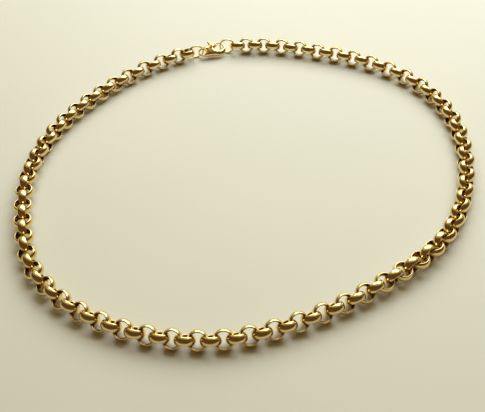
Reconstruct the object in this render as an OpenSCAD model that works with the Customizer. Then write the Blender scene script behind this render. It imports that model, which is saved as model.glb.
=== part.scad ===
// Rolo chain necklace of round links with a lobster clasp.
// It lies flat in a closed loop on a level surface.
// Millimetres. X is left to right, Y is front to back, Z is up.
// The clasp is at the back of the loop.

/* [Chain] */
// Links in the chain, an even number
link_count = 122; // [102:2:142]
// Outer diameter of a link
link_d = 6.3; // [6:0.05:6.8]
// Width of a link's band
link_w = 2.5; // [2.2:0.1:2.6]
// Thickness of a link's band at its middle
link_t = 1; // [0.8:0.05:1.05]
// How far apart the links lie, as a share of the farthest they can go
link_pull = 0.904; // [0.89:0.001:0.91]

/* [Rings] */
// Outer diameter of the two jump rings
ring_d = 6.2; // [6.1:0.1:6.4]
// Thickness of the jump rings' wire
ring_wire = 0.6; // [0.5:0.05:0.7]

/* [Clasp] */
// Length of the clasp from its eye to the hook's end
clasp_len = 11; // [10.8:0.1:12]
// Thickness of the clasp at its middle
clasp_t = 2.6; // [2.4:0.1:2.8]
// Radius of the hook's bend
bend_r = 2.75; // [2.7:0.05:3]
// Radius of the eye at the tail
eye_r = 1.8; // [1.75:0.05:1.9]
// Radius of the hole in the eye
eye_hole_r = 1.1; // [1:0.05:1.15]
// Thickness of the lever
lever_t = 1; // [0.8:0.05:1.2]
// Diameter of the rivet
rivet_d = 0.8; // [0.6:0.05:1]
// How far the clasp leans on its spine, in degrees
clasp_tilt = 30; // [20:1:35]

/* [Hidden] */
$fn = 64;

// Colours
gold = [0.88, 0.70, 0.38];
pale_gold = [0.90, 0.74, 0.44];

// Link band: a flat edge with a bulge outside and a smaller one inside
outer_bow = 0.53 * link_t;
inner_bow = 0.29 * link_t;
half_w = link_w / 2;
bore_r = link_d / 2 - link_t;
outer_arc_r = (half_w * half_w + outer_bow * outer_bow) / (2 * outer_bow);
inner_arc_r = (half_w * half_w + inner_bow * inner_bow) / (2 * inner_bow);
outer_cuts = 2;
inner_cuts = 1;

// Outline of the band, with the crown of each bulge a corner
link_section = concat(
    [
        for (k = [-outer_cuts:outer_cuts])
            let (a = asin(half_w / outer_arc_r) * k / outer_cuts)
                [link_d / 2 + outer_arc_r * (cos(a) - 1), outer_arc_r * sin(a)]
    ],
    [
        for (k = [inner_cuts:-1:-inner_cuts])
            let (a = asin(half_w / inner_arc_r) * k / inner_cuts)
                [bore_r + inner_arc_r * (1 - cos(a)), inner_arc_r * sin(a)]
    ]
);

// Farthest that two crossed links can lie apart, and the distance used
link_reach = bore_r + sqrt(bore_r * bore_r - half_w * half_w);
pitch = link_pull * link_reach;

// Route of the loop, clockwise from the clasp, in steps of one part in 146 of its width
route = [
    [-16.5, 68], [5.5, 70], [27.5, 64.5], [48, 55], [63.5, 41],
    [72, 22.5], [73, 1], [67.5, -21], [56, -39.5], [37, -53.5],
    [14.5, -64.5], [-9, -70], [-31, -67], [-50.5, -57.5], [-65, -42],
    [-71.5, -21.5], [-73, 1.5], [-67, 23.5], [-54, 42.5], [-37, 58]
];
route_steps = 60;

// Share of the chain, and how many pitches the links lie ahead of even spacing there
slack = [
    [0, 0], [0.025, -0.06], [0.058, -0.02], [0.091, 0.04], [0.124, 0.14], [0.157, 0.42],
    [0.182, 0.58], [0.215, 0.6], [0.25, 0.77], [0.3, 0.9], [0.36, 0.82], [0.4, 0.7],
    [0.46, 0.57], [0.5, 0.72], [0.57, 0.77], [0.62, 0.84], [0.65, 0.98], [0.69, 1.25],
    [0.724, 1.45], [0.76, 1.3], [0.81, 1.07], [0.843, 0.98], [0.909, 0.38],
    [0.935, 0.22], [0.96, 0.35], [1, 0.5]
];

// Share of the chain, and the roll of its even links there, in degrees
twist = [
    [0, 146], [0.10, 144], [0.16, 138], [0.20, 133], [0.25, 135], [0.33, 135],
    [0.365, 112], [0.40, 84], [0.43, 62], [0.46, 50], [0.50, 46], [0.60, 46],
    [0.655, 58], [0.69, 72], [0.74, 92], [0.76, 94], [0.80, 76],
    [0.84, 52], [0.87, 38], [0.92, 40], [0.97, 54], [1, 70]
];

// Clasp, measured from the middle of its eye with the spine below the hook
bend_x = clasp_len - eye_r - bend_r;
bend_y = 0.11 * bend_r;
spine_low = bend_r - bend_y;
bay_r = 0.45 * bend_r;
bay_x = bend_x + 0.16 * bend_r;
bay_y = bend_y + 0.34 * bend_r;
rivet_x = 0.55 * bend_x;
rivet_y = 0.53 * bend_r;
cheek_r = 0.53 * bend_r;
neck_x = rivet_x - 0.6 * cheek_r;
neck_y = rivet_y + 0.75 * cheek_r;
clasp_gap = 0.12;
slot_r = cheek_r + clasp_gap / 2;
cheek_step = 0.05;

// The hook's tip, and how far from the rivet the lever reaches to it
tip_x = bend_x - 0.3 * bend_r;
tip_y = bend_y + 0.95 * bend_r;
mouth_r = norm([tip_x - rivet_x, tip_y - rivet_y]);
mouth_foot = 1.1 * bend_r;
mouth_drop = 0.64 * mouth_foot;
mouth_back = 0.2 * bend_r;

// Both faces of the clasp are domed
dome_r = 16;
dome_fn = 256;
dome_x = (bend_x + bend_r - eye_r) / 2;
cheek_z = clasp_t / 2 - dome_r + sqrt(dome_r * dome_r - pow(dome_x - rivet_x, 2));

// Lever's arm and thumb tab, from the rivet in shares of the cheek's radius
arm = [[-0.3, 0.9], [0.35, 1.15], [1.3, 1.2], [1.8, 0.6], [1.7, 0.24], [1, -0.1]];
tab = [[-0.4, 0.85], [0.3, 0.95], [-0.3, 1.8], [-0.78, 1.7]];
tab_end = [-0.52, 1.72];
tab_end_r = 0.26;

// Rivet, its play in the body and in the lever, and its heads
body_play = 0.03;
lever_play = 0.07;
head_d = 1.6 * rivet_d;
head_t = 0.2;
head_out = 0.13;

// Jump rings, placed along the clasp's line from the last link and clear of what they hold
ring_r = (ring_d - ring_wire) / 2;
ring_in = ring_r - ring_wire / 2;
ring_play = 1;
tail_ring_side = 0.2;
tail_ring_roll = 10;
tail_ring_turn = -4;
end_ring_side = 0.62;
end_ring_roll = -5;
end_ring_turn = -12;
end_ring_out = 0.64 * ring_r;
first_link_play = 0.51;
tail_ring_x = bore_r + ring_in - ring_play;
eye_x = tail_ring_x + ring_in + eye_hole_r - ring_play;
end_ring_x = bay_x + bay_r + end_ring_out;
first_link_x = end_ring_x + bore_r + ring_in - first_link_play;

// Loop stretched or shrunk to the chain's length
clasp_place = 5.6;
clasp_span = eye_x + first_link_x;
function curve(a, b, c, d, t) =
    (2 * b + (c - a) * t + (2 * a - 5 * b + 4 * c - d) * t * t
    + (3 * b - a - 3 * c + d) * t * t * t) / 2;
corners = len(route);
fine = [
    for (i = [0:corners * route_steps])
        let (k = floor(i / route_steps))
            curve(
                route[(k + corners - 1) % corners], route[k % corners],
                route[(k + 1) % corners], route[(k + 2) % corners],
                i / route_steps - k
            )
];
fine_end = len(fine) - 1;
along = [
    for (i = 0, s = 0; i <= fine_end;
        s = s + (i < fine_end ? norm(fine[i + 1] - fine[i]) : 0), i = i + 1) s
];
route_len = along[fine_end];
route_x = [for (i = [0:fine_end]) [along[i], fine[i][0]]];
route_y = [for (i = [0:fine_end]) [along[i], fine[i][1]]];
last_slack = slack[len(slack) - 1][1];
loop_len = (link_count - 1 + last_slack) * pitch + clasp_span;
loop_scale = loop_len / route_len;
start = clasp_place + clasp_span / 2;

// Place and direction on the loop at a distance along it
function wrap(s) = s - route_len * floor(s / route_len);
function route_spot(s) =
    let (m = wrap(s / loop_scale))
        loop_scale * [lookup(m, route_x), lookup(m, route_y)];
function heading(a, b) = atan2(b[1] - a[1], b[0] - a[0]);

// How far a link reaches from its middle, in a direction at this angle from its axis
function reach(angle) =
    max([for (p = link_section) p[0] * abs(sin(angle)) + p[1] * abs(cos(angle))]);

// Links along the chain
function share(i) = i / (link_count - 1);
function link_s(i) = start + (i + lookup(share(i), slack)) * pitch;
function even_roll(i) = lookup(share(i), twist);
function link_roll(i) = even_roll(i) + (i % 2 == 0 ? 0 : 90);
function link_z(i) = max(reach(even_roll(i)), reach(even_roll(i) + 90));

// Middle of the box around the links, which goes over the origin
links = [0:link_count - 1];
function low_side(axis) =
    min([for (i = links) route_spot(link_s(i))[axis] - reach(90 - link_roll(i))]);
function high_side(axis) =
    max([for (i = links) route_spot(link_s(i))[axis] + reach(90 - link_roll(i))]);
middle = [for (axis = [0, 1]) (low_side(axis) + high_side(axis)) / 2];
function spot(s) = route_spot(s) - middle;

// Line of the clasp, from the last link to the first
last_spot = spot(link_s(link_count - 1));
first_spot = spot(link_s(0));
clasp_heading = heading(last_spot, first_spot);
clasp_z = spine_low * sin(clasp_tilt) + cheek_z * cos(clasp_tilt);
tail_ring_z = ring_r * cos(tail_ring_roll) + ring_wire / 2;
end_ring_z = ring_r * cos(end_ring_roll) + ring_wire / 2;

module link() {
    rotate_extrude()
        polygon(link_section);
}

module chain() {
    color(gold)
        for (i = links) {
            here = spot(link_s(i));
            turn = heading(spot(link_s(i) - 1), spot(link_s(i) + 1));
            translate([here[0], here[1], link_z(i)])
                rotate([0, 0, turn])
                    rotate([link_roll(i), 0, 0])
                        link();
        }
}

// Things on the clasp's line, a distance along it from the last link and to its side
module on_line(x, side, z) {
    translate([last_spot[0], last_spot[1], z])
        rotate([0, 0, clasp_heading])
            translate([x, side, 0])
                children();
}

module in_clasp() {
    on_line(eye_x, 0, clasp_z)
        rotate([clasp_tilt, 0, 0])
            children();
}

module jump_ring() {
    rotate_extrude()
        translate([ring_r, 0])
            circle(r = ring_wire / 2);
}

module tail_ring() {
    color(pale_gold)
        on_line(tail_ring_x, tail_ring_side, tail_ring_z)
            rotate([90 + tail_ring_roll, 0, tail_ring_turn])
                jump_ring();
}

module end_ring() {
    color(pale_gold)
        on_line(eye_x + end_ring_x, end_ring_side, end_ring_z)
            rotate([90 + end_ring_roll, 0, end_ring_turn])
                jump_ring();
}

// Outline of the whole clasp without its opening
module clasp_outline() {
    circle(r = eye_r);
    translate([bend_x, bend_y])
        circle(r = bend_r);
    translate([rivet_x, rivet_y])
        circle(r = cheek_r);
    polygon([
        [0, -eye_r],
        [bend_x, -spine_low],
        [bend_x, bend_y],
        [rivet_x, rivet_y],
        [neck_x, neck_y],
        [0, eye_r]
    ]);
}

// Space between the cheeks and the hook's tip, which the lever closes, and its way into the bay
module mouth() {
    intersection() {
        translate([rivet_x, rivet_y])
            difference() {
                circle(r = mouth_r + clasp_gap);
                circle(r = cheek_r + cheek_step);
            }
        polygon([
            [rivet_x, rivet_y],
            [rivet_x + mouth_foot, rivet_y - mouth_drop],
            [bend_x + bend_r, rivet_y - mouth_drop],
            [bend_x + bend_r, 2 * bend_r],
            [rivet_x - mouth_back, 2 * bend_r]
        ]);
    }
}

module clasp_body() {
    color(gold)
        in_clasp()
            difference() {
                intersection() {
                    translate([0, 0, -clasp_t / 2])
                        linear_extrude(clasp_t)
                            difference() {
                                clasp_outline();
                                circle(r = eye_hole_r);
                                translate([bay_x, bay_y])
                                    circle(r = bay_r);
                                translate([rivet_x, rivet_y])
                                    circle(r = rivet_d / 2 + body_play);
                                mouth();
                            }
                    translate([dome_x, 0, clasp_t / 2 - dome_r])
                        sphere(r = dome_r, $fn = dome_fn);
                    translate([dome_x, 0, dome_r - clasp_t / 2])
                        sphere(r = dome_r, $fn = dome_fn);
                }
                translate([rivet_x, rivet_y, -lever_t / 2 - clasp_gap])
                    cylinder(r = slot_r, h = lever_t + 2 * clasp_gap);
            }
}

// Lever: a disc on the rivet, a broad arm up to the hook's tip and a tab for the thumb
module clasp_lever() {
    color(pale_gold)
        in_clasp()
            translate([rivet_x, rivet_y, -lever_t / 2])
                linear_extrude(lever_t)
                    difference() {
                        union() {
                            circle(r = cheek_r - clasp_gap);
                            intersection() {
                                circle(r = mouth_r);
                                polygon(arm * cheek_r);
                            }
                            polygon(tab * cheek_r);
                            translate(tab_end * cheek_r)
                                circle(r = tab_end_r * cheek_r);
                        }
                        circle(r = rivet_d / 2 + lever_play);
                    }
}

module clasp_rivet() {
    color(gold)
        in_clasp()
            translate([rivet_x, rivet_y, 0]) {
                cylinder(d = rivet_d, h = 2 * (cheek_z + head_out), center = true);
                for (side = [-1, 1])
                    translate([0, 0, side * (cheek_z + head_out)])
                        cylinder(d = head_d, h = head_t, center = true);
            }
}

chain();
tail_ring();
clasp_body();
clasp_lever();
clasp_rivet();
end_ring();
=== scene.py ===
import math

import bmesh
import bpy
import numpy as np
from mathutils import Matrix, Vector
from mathutils.kdtree import KDTree


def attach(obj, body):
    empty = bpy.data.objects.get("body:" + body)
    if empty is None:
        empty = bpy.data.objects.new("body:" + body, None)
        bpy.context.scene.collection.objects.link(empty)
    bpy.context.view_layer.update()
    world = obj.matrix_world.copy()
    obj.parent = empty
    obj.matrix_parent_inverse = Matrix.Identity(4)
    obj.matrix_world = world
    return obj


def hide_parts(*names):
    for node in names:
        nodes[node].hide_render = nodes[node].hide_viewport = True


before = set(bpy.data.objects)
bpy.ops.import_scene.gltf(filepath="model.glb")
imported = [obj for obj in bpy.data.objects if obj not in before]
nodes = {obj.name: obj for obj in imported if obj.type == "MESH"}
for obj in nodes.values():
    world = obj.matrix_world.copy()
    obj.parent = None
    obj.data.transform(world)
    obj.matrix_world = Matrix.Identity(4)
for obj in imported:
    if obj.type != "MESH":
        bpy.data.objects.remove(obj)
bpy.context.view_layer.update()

MM = 0.001

# Place of the camera, in metres and degrees
CAMERA_TARGET = (-0.00213, -0.01952, 0.0031)
CAMERA_DISTANCE = 0.2522
CAMERA_HEIGHT_ANGLE = 45.16
CAMERA_ROLL = -3.02
CAMERA_LENS = 59.38
CAMERA_SENSOR = 36

# Finish of the gold: its colours, and the clouds and fine wear in it, both per metre
PALE_GOLD = (0.90, 0.72, 0.34, 1)
DEEP_GOLD = (0.87, 0.665, 0.29, 1)
# Painted shade: the dark brown mixed into the gold on the inner side of each link's band
PAINTED_SHADE_GOLD = (0.20, 0.09, 0.03, 1)
CLOUDS = 420
WEAR = 2600
CHAIN_ROUGHNESS = 0.18
CLASP_ROUGHNESS = 0.24

# How much smoother and rougher the gold is in places, and how deep the wear goes, in metres
SMOOTHER = 0.04
ROUGHER = 0.06
WEAR_DEPTH = 0.00005
WEAR_STRENGTH = 0.08

# Board under the chain: its two tones, the clouds of them per metre and its roughness
BOARD_LOW = (0.79, 0.785, 0.69, 1)
BOARD_HIGH = (0.81, 0.80, 0.705, 1)
BOARD_CLOUDS = 14
BOARD_ROUGHNESS = 0.6

# Half the board's side, in metres, so long that its edge stays out of view from low down too
BOARD_HALF = 12

# Room: its colours from the side away from the bright direction to that direction
BRIGHT_SIDE = (0.15, 0.75, 0.64)
ROOM_COLOURS = (
    (0.0, (0.15, 0.085, 0.045, 1)),
    (0.30, (0.14, 0.065, 0.03, 1)),
    (0.50, (0.22, 0.125, 0.055, 1)),
    (0.72, (0.80, 0.72, 0.34, 1)),
    (1.0, (1.0, 0.95, 0.58, 1)),
)
ROOM_STRENGTH = 0.66

# Window, a soft box aimed at the middle of the board, in metres and watts
WINDOW_SPOT = (0.11, 0.335, 0.365)
WINDOW_WIDTH = 0.62
WINDOW_HEIGHT = 0.42
WINDOW_POWER = 2.95
WINDOW_COLOUR = (0.965, 1, 1)

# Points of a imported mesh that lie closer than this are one, in millimetres
MERGE_WITHIN = 0.001

# Section of a link's band, as shares of its thickness, and the steps around the link
OUTER_BOW = 0.53
INNER_BOW = 0.29
OUTSIDE_POINTS = 9
INSIDE_POINTS = 5
LINK_STEPS = 50
RIM_SHARE = 0.965
LINK_FIT = 0.988

# Depth in the band, as a share of it, where painted shade starts to darken a link's gold, and over
# what depth
PAINTED_SHADE_FROM = 0.55
PAINTED_SHADE_REACH = 0.35

# Jump rings: steps around the wire and around the ring
WIRE_STEPS = 16
RING_STEPS = 72

# Grain of the cast pieces' meshes, in millimetres, and how often each is smoothed
BODY_GRAIN = 0.06
FINE_GRAIN = 0.035
BODY_SMOOTHING = 8
LEVER_SMOOTHING = 6
RIVET_SMOOTHING = 6
SMOOTHING_FACTOR = 0.5

# How far in from its edges a cast piece is rounded, in millimetres, and the share of its height
# that the edge itself loses
BODY_ROUND = 1.2
BODY_ROUND_SHARE = 1
LEVER_ROUND = 0.3
LEVER_ROUND_SHARE = 0.5

# The body's cheeks stay flat up to their own edge, this far from the pin, in millimetres
CHEEK_REACH = 1.6

# A point lies on a piece's edge where less than this share of its normal points through the piece
WALL_FACING = 0.35


def merged(node):
    """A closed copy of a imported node's mesh"""
    bm = bmesh.new()
    bm.from_mesh(node.data)
    bmesh.ops.remove_doubles(bm, verts=bm.verts, dist=MERGE_WITHIN * MM)
    return bm


def finished(mesh, name, body, material, node):
    """An object from a finished mesh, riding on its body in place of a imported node"""
    for face in mesh.polygons:
        face.use_smooth = True
    mesh.name = name
    mesh.materials.clear()
    mesh.materials.append(material)
    piece = bpy.data.objects.new(name, mesh)
    bpy.context.scene.collection.objects.link(piece)
    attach(piece, body)
    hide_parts(node)
    return piece


# Chain

def loose_parts(bm):
    """The points of each separate solid, as one array for each"""
    parts = []
    seen = set()
    for first in bm.verts:
        if first in seen:
            continue
        seen.add(first)
        part = [first]
        for vert in part:
            for edge in vert.link_edges:
                other = edge.other_vert(vert)
                if other not in seen:
                    seen.add(other)
                    part.append(other)
        parts.append(np.array([vert.co for vert in part]))
    return parts


def middle_and_axis(points):
    """Middle of a ring or a flat piece, and the direction straight through it"""
    middle = points.mean(0)
    spread = np.cov((points - middle).T)
    directions = np.linalg.eigh(spread)[1]
    return middle, directions[:, 0]


def ring_sizes(points, middle, axis):
    """Outer radius, bore radius and half width of a ring"""
    away = points - middle
    along = away @ axis
    radius = np.linalg.norm(away - np.outer(along, axis), axis=1)
    return radius.max(), radius.min(), np.abs(along).max()


def spun(section, steps):
    """A ring with this section, given as radius and height"""
    bm = bmesh.new()
    corners = [bm.verts.new((r, 0, z)) for r, z in section]
    sides = [bm.edges.new((a, b)) for a, b in zip(corners, corners[1:] + corners[:1])]
    bmesh.ops.spin(
        bm, geom=corners + sides, cent=(0, 0, 0), axis=(0, 0, 1), angle=2 * math.pi,
        steps=steps, use_merge=True, use_duplicate=False,
    )
    bmesh.ops.recalc_face_normals(bm, faces=bm.faces)
    return bm


def bulge(bow, half_w, count):
    """Heights across the band and how far an arc rises there above its chord"""
    arc_r = (half_w ** 2 + bow ** 2) / (2 * bow)
    heights = [
        RIM_SHARE * half_w * math.sin(math.pi * (k / (count - 1) - 0.5)) for k in range(count)
    ]
    return [(z, math.sqrt(arc_r ** 2 - z ** 2) - arc_r + bow) for z in heights]


def link_mesh(outer_r, bore_r, half_w):
    """One link: a band with a domed outside, a flatter inside and softened rims"""
    band = outer_r - bore_r
    chord_out = outer_r - OUTER_BOW * band
    chord_in = bore_r + INNER_BOW * band
    outside = [(chord_out + rise, z) for z, rise in bulge(OUTER_BOW * band, half_w, OUTSIDE_POINTS)]
    inside = [(chord_in - rise, -z) for z, rise in bulge(INNER_BOW * band, half_w, INSIDE_POINTS)]
    rim_r = (chord_out + chord_in) / 2
    bm = spun(outside + [(rim_r, half_w)] + inside + [(rim_r, -half_w)], LINK_STEPS)
    # Painted shade: each point's share of dark grows with its depth in the band towards the bore
    painted_shade = bm.verts.layers.float.new("painted_shade")
    for vert in bm.verts:
        depth = (outer_r - vert.co.xy.length) / band
        vert[painted_shade] = min(1, max(0, (depth - PAINTED_SHADE_FROM) / PAINTED_SHADE_REACH))
    bmesh.ops.scale(bm, vec=(LINK_FIT, LINK_FIT, LINK_FIT), verts=bm.verts)
    mesh = bpy.data.meshes.new("link")
    bm.to_mesh(mesh)
    bm.free()
    return mesh


def set_down(bm, verts, middle, axis):
    """Move a ring made about the origin to its place"""
    turn = Vector(axis).to_track_quat("Z", "X").to_matrix().to_4x4()
    bmesh.ops.transform(bm, matrix=Matrix.Translation(Vector(middle)) @ turn, verts=verts)


def make_chain(material):
    """All links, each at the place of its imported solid"""
    packed = merged(nodes["chain"])
    parts = loose_parts(packed)
    packed.free()
    link = link_mesh(*ring_sizes(parts[0], *middle_and_axis(parts[0])))
    bm = bmesh.new()
    for part in parts:
        before = len(bm.verts)
        bm.from_mesh(link)
        bm.verts.ensure_lookup_table()
        set_down(bm, bm.verts[before:], *middle_and_axis(part))
    mesh = bpy.data.meshes.new("chain_links")
    bm.to_mesh(mesh)
    bm.free()
    finished(mesh, "chain_links", "necklace", material, "chain")


# Rings and clasp

def make_jump_ring(node, name, material):
    """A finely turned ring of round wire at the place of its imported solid"""
    packed = merged(nodes[node])
    points = np.array([vert.co for vert in packed.verts])
    packed.free()
    middle, axis = middle_and_axis(points)
    outer_r, inner_r, half_w = ring_sizes(points, middle, axis)
    wire_r = (outer_r - inner_r) / 2
    turns = [2 * math.pi * k / WIRE_STEPS for k in range(WIRE_STEPS)]
    section = [
        (outer_r - wire_r + wire_r * math.cos(a), wire_r * math.sin(a)) for a in turns
    ]
    bm = spun(section, RING_STEPS)
    set_down(bm, bm.verts, middle, axis)
    mesh = bpy.data.meshes.new(name)
    bm.to_mesh(mesh)
    bm.free()
    finished(mesh, name, "necklace", material, node)


def in_millimetres(node):
    """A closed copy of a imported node's mesh, in millimetres"""
    bm = merged(nodes[node])
    bmesh.ops.scale(bm, vec=(1 / MM, 1 / MM, 1 / MM), verts=bm.verts)
    mesh = bpy.data.meshes.new(node)
    bm.to_mesh(mesh)
    bm.free()
    return mesh


def cast(mesh, grain, smoothing):
    """The same shape with an even grain, smoothed as if tumbled"""
    holder = bpy.data.objects.new(mesh.name, mesh)
    bpy.context.scene.collection.objects.link(holder)
    remesh = holder.modifiers.new("grain", "REMESH")
    remesh.mode = "VOXEL"
    remesh.voxel_size = grain
    soften = holder.modifiers.new("soften", "SMOOTH")
    soften.factor = SMOOTHING_FACTOR
    soften.iterations = smoothing
    ready = holder.evaluated_get(bpy.context.evaluated_depsgraph_get())
    result = bpy.data.meshes.new_from_object(ready)
    bpy.data.objects.remove(holder)
    return result


def round_edges(mesh, depth, share, pin, cheek_reach):
    """Thin a flat piece towards its edges, but not at the cheeks around the pin"""
    spots = np.array([vert.co for vert in mesh.vertices])
    facing = np.array([vert.normal for vert in mesh.vertices])
    middle, through = middle_and_axis(spots)
    height = (spots - middle) @ through
    flat = spots - np.outer(height, through)
    pin_flat = pin - ((pin - middle) @ through) * through
    wall = np.abs(facing @ through) < WALL_FACING
    wall &= np.linalg.norm(flat - pin_flat, axis=1) > cheek_reach
    edge = KDTree(int(wall.sum()))
    for number, spot in enumerate(flat[wall]):
        edge.insert(spot, number)
    edge.balance()
    inward = np.array([edge.find(spot)[2] for spot in flat])
    left = 1 - np.minimum(inward, depth) / depth
    kept = 1 - share * (1 - np.sqrt(1 - left ** 2))
    flat += np.outer(height * kept, through)
    mesh.vertices.foreach_set("co", flat.ravel())
    mesh.update()


def make_clasp(material):
    """Body and lever, both rounded to their edges, and the rivet"""
    pin = np.array([vert.co for vert in nodes["clasp_rivet"].data.vertices]).mean(0) / MM
    body = cast(in_millimetres("clasp_body"), BODY_GRAIN, BODY_SMOOTHING)
    round_edges(body, BODY_ROUND, BODY_ROUND_SHARE, pin, CHEEK_REACH)
    lever = cast(in_millimetres("clasp_lever"), FINE_GRAIN, LEVER_SMOOTHING)
    round_edges(lever, LEVER_ROUND, LEVER_ROUND_SHARE, pin, 0)
    rivet = in_millimetres("clasp_rivet")
    for mesh, grain, smoothing, node, name, rider in (
        (body, BODY_GRAIN, BODY_SMOOTHING, "clasp_body", "clasp_casting", "necklace"),
        (lever, FINE_GRAIN, LEVER_SMOOTHING, "clasp_lever", "lever_casting", "lever"),
        (rivet, FINE_GRAIN, RIVET_SMOOTHING, "clasp_rivet", "rivet_heads", "necklace"),
    ):
        ready = cast(mesh, grain, smoothing)
        ready.transform(Matrix.Scale(MM, 4))
        finished(ready, name, rider, material, node)


# Finishes

def colour_ramp(tree, stops):
    """A ramp with these places and colours, in rising order"""
    ramp = tree.nodes.new("ShaderNodeValToRGB")
    elements = ramp.color_ramp.elements
    elements[0].position, elements[0].color = stops[0]
    elements[1].position, elements[1].color = stops[-1]
    for position, colour in stops[1:-1]:
        elements.new(position).color = colour
    return ramp


def noise(tree, scale, detail):
    """A noise pattern in the surface"""
    pattern = tree.nodes.new("ShaderNodeTexNoise")
    pattern.inputs["Scale"].default_value = scale
    pattern.inputs["Detail"].default_value = detail
    return pattern


def polished_gold(name, seed, roughness):
    """Yellow gold with fine wear, darkened by painted shade inside the links' bores"""
    material = bpy.data.materials.new(name)
    material.use_nodes = True
    tree = material.node_tree
    shader = tree.nodes["Principled BSDF"]
    shader.inputs["Metallic"].default_value = 1
    coords = tree.nodes.new("ShaderNodeTexCoord")
    place = tree.nodes.new("ShaderNodeMapping")
    place.inputs["Location"].default_value = (seed, 0, 0)
    tree.links.new(coords.outputs["Object"], place.inputs["Vector"])
    cloud = noise(tree, CLOUDS, 3)
    tree.links.new(place.outputs["Vector"], cloud.inputs["Vector"])
    wear = noise(tree, WEAR, 4)
    tree.links.new(place.outputs["Vector"], wear.inputs["Vector"])
    tint = colour_ramp(tree, ((0.3, DEEP_GOLD), (0.7, PALE_GOLD)))
    tree.links.new(cloud.outputs["Fac"], tint.inputs["Fac"])
    # Painted shade: the dark brown is mixed in where the mesh's attribute marks the band turning to
    # the bore
    painted_shade = tree.nodes.new("ShaderNodeAttribute")
    painted_shade.attribute_name = "painted_shade"
    shade = tree.nodes.new("ShaderNodeMix")
    shade.data_type = "RGBA"
    shade.inputs["B"].default_value = PAINTED_SHADE_GOLD
    tree.links.new(painted_shade.outputs["Fac"], shade.inputs["Factor"])
    tree.links.new(tint.outputs["Color"], shade.inputs["A"])
    tree.links.new(shade.outputs["Result"], shader.inputs["Base Color"])
    gloss = tree.nodes.new("ShaderNodeMapRange")
    gloss.inputs["From Min"].default_value = 0.3
    gloss.inputs["From Max"].default_value = 0.7
    gloss.inputs["To Min"].default_value = roughness - SMOOTHER
    gloss.inputs["To Max"].default_value = roughness + ROUGHER
    tree.links.new(wear.outputs["Fac"], gloss.inputs["Value"])
    tree.links.new(gloss.outputs["Result"], shader.inputs["Roughness"])
    bump = tree.nodes.new("ShaderNodeBump")
    bump.inputs["Strength"].default_value = WEAR_STRENGTH
    bump.inputs["Distance"].default_value = WEAR_DEPTH
    tree.links.new(wear.outputs["Fac"], bump.inputs["Height"])
    tree.links.new(bump.outputs["Normal"], shader.inputs["Normal"])
    return material


def pale_board():
    """Smooth pale board under the chain"""
    material = bpy.data.materials.new("pale_board")
    material.use_nodes = True
    tree = material.node_tree
    shader = tree.nodes["Principled BSDF"]
    shader.inputs["Roughness"].default_value = BOARD_ROUGHNESS
    coords = tree.nodes.new("ShaderNodeTexCoord")
    cloud = noise(tree, BOARD_CLOUDS, 2)
    tree.links.new(coords.outputs["Object"], cloud.inputs["Vector"])
    tint = colour_ramp(tree, ((0.35, BOARD_LOW), (0.65, BOARD_HIGH)))
    tree.links.new(cloud.outputs["Fac"], tint.inputs["Fac"])
    tree.links.new(tint.outputs["Color"], shader.inputs["Base Color"])
    return material


# Room

def add_camera():
    """Camera at the photograph's angle, from a point on the board"""
    tilt = math.radians(CAMERA_HEIGHT_ANGLE)
    roll = math.radians(CAMERA_ROLL)
    ahead = Vector((0, math.cos(tilt), -math.sin(tilt)))
    right = Vector((1, 0, 0))
    up = right.cross(ahead)
    side = right * math.cos(roll) + up * math.sin(roll)
    top = up * math.cos(roll) - right * math.sin(roll)
    spot = Vector(CAMERA_TARGET) - ahead * CAMERA_DISTANCE
    camera = bpy.data.cameras.new("camera")
    camera.lens = CAMERA_LENS
    camera.sensor_width = CAMERA_SENSOR
    camera.clip_start = 0.01
    holder = bpy.data.objects.new("camera", camera)
    bpy.context.scene.collection.objects.link(holder)
    holder.matrix_world = Matrix((
        (side.x, top.x, -ahead.x, spot.x),
        (side.y, top.y, -ahead.y, spot.y),
        (side.z, top.z, -ahead.z, spot.z),
        (0, 0, 0, 1),
    ))
    bpy.context.scene.camera = holder


def add_board(material):
    """Plain pale floor at the height the chain rests on"""
    bm = bmesh.new()
    bmesh.ops.create_grid(bm, x_segments=1, y_segments=1, size=BOARD_HALF)
    mesh = bpy.data.meshes.new("board")
    bm.to_mesh(mesh)
    bm.free()
    mesh.materials.append(material)
    board = bpy.data.objects.new("board", mesh)
    bpy.context.scene.collection.objects.link(board)


def add_window():
    """Soft box behind the chain, aimed at the middle of the board"""
    light = bpy.data.lights.new("window", "AREA")
    light.shape = "RECTANGLE"
    light.size = WINDOW_WIDTH
    light.size_y = WINDOW_HEIGHT
    light.energy = WINDOW_POWER
    light.color = WINDOW_COLOUR
    holder = bpy.data.objects.new("window", light)
    bpy.context.scene.collection.objects.link(holder)
    holder.location = WINDOW_SPOT
    holder.rotation_euler = (-Vector(WINDOW_SPOT)).to_track_quat("-Z", "Y").to_euler()


def add_room():
    """Bright behind and overhead, dim and warm in front"""
    world = bpy.data.worlds.new("room")
    bpy.context.scene.world = world
    world.use_nodes = True
    tree = world.node_tree
    background = tree.nodes["Background"]
    coords = tree.nodes.new("ShaderNodeTexCoord")
    facing = tree.nodes.new("ShaderNodeVectorMath")
    facing.operation = "DOT_PRODUCT"
    facing.inputs[1].default_value = Vector(BRIGHT_SIDE).normalized()
    tree.links.new(coords.outputs["Generated"], facing.inputs[0])
    glow = colour_ramp(tree, ROOM_COLOURS)
    tree.links.new(facing.outputs["Value"], glow.inputs["Fac"])
    tree.links.new(glow.outputs["Color"], background.inputs["Color"])
    background.inputs["Strength"].default_value = ROOM_STRENGTH


bpy.context.scene.view_settings.view_transform = "Standard"
add_camera()
add_board(pale_board())
add_room()
add_window()
chain_gold = polished_gold("chain_gold", 0, CHAIN_ROUGHNESS)
clasp_gold = polished_gold("clasp_gold", 3, CLASP_ROUGHNESS)
make_chain(chain_gold)
make_jump_ring("tail_ring", "tail_ring_wire", clasp_gold)
make_jump_ring("end_ring", "end_ring_wire", clasp_gold)
make_clasp(clasp_gold)
